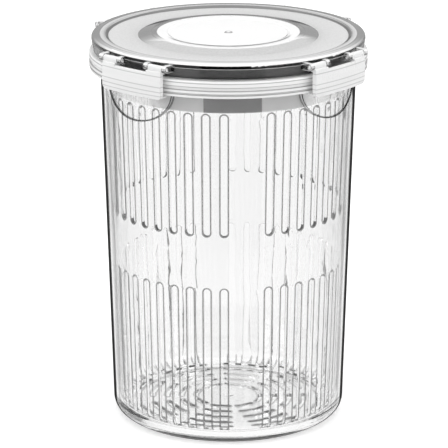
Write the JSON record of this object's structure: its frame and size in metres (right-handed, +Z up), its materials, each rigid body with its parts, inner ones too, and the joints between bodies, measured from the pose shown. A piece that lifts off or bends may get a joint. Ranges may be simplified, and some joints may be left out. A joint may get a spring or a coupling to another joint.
{
  "type": "pickle keeper with lift strainer",
  "caption": "Round clear storage canister with a slotted lift-out strainer on a folding handle, a gasketed lid with clip latches and a recessed stacking top.",
  "frame": {"origin": "centre of the foot, on the table", "axes": "+Z up along the canister's axis, front is -Y, midway between two latches"},
  "size_m": [0.1528, 0.1528, 0.2177],
  "materials": {
    "clear_plastic": "clear gloss",
    "lid_plastic": "clear gloss with a frosted ring",
    "frosted_plastic": "fine frosted",
    "handle_plastic": "satin, translucent white",
    "gasket_silicone": "satin, dark grey"
  },
  "bodies": {
    "canister": {"canister": "clear_plastic"},
    "strainer": {"strainer": "clear_plastic"},
    "strainer_handle": {"strainer_handle": "handle_plastic"},
    "lid": {"lid": "lid_plastic", "lid_gasket": "gasket_silicone"},
    "latch_right_back": {"latch_right_back": "frosted_plastic"},
    "latch_left_back": {"latch_left_back": "frosted_plastic"},
    "latch_left_front": {"latch_left_front": "frosted_plastic"},
    "latch_right_front": {"latch_right_front": "frosted_plastic"}
  },
  "joints": [
    {"name": "lid_lift", "type": "slide", "parent": "canister", "child": "lid", "axis": [0, 0, 1], "range_m": [0, 0.44]},
    {"name": "strainer_lift", "type": "slide", "parent": "canister", "child": "strainer", "axis": [0, 0, 1], "range_m": [0, 0.22]},
    {"name": "handle_swing", "type": "hinge", "parent": "strainer", "child": "strainer_handle", "pos_m": [0, 0, 0.1982], "axis": [0.9966, 0.0819, 0], "range_deg": [0, 90]},
    {"name": "latch_swing_right_back", "type": "hinge", "parent": "lid", "child": "latch_right_back", "pos_m": [0.05395, 0.05395, 0.2139], "axis": [0.7071, -0.7071, 0], "range_deg": [0, 115]},
    {"name": "latch_swing_left_back", "type": "hinge", "parent": "lid", "child": "latch_left_back", "pos_m": [-0.05395, 0.05395, 0.2139], "axis": [0.7071, 0.7071, 0], "range_deg": [0, 115]},
    {"name": "latch_swing_left_front", "type": "hinge", "parent": "lid", "child": "latch_left_front", "pos_m": [-0.05395, -0.05395, 0.2139], "axis": [-0.7071, 0.7071, 0], "range_deg": [0, 115]},
    {"name": "latch_swing_right_front", "type": "hinge", "parent": "lid", "child": "latch_right_front", "pos_m": [0.05395, -0.05395, 0.2139], "axis": [-0.7071, -0.7071, 0], "range_deg": [0, 115]}
  ],
  "couplings": [
    {"joint": "strainer_lift", "follows": "lid_lift", "ratio": 0.5},
    {"joint": "handle_swing", "follows": "lid_lift", "rad_per_m": 3.5699}
  ]
}
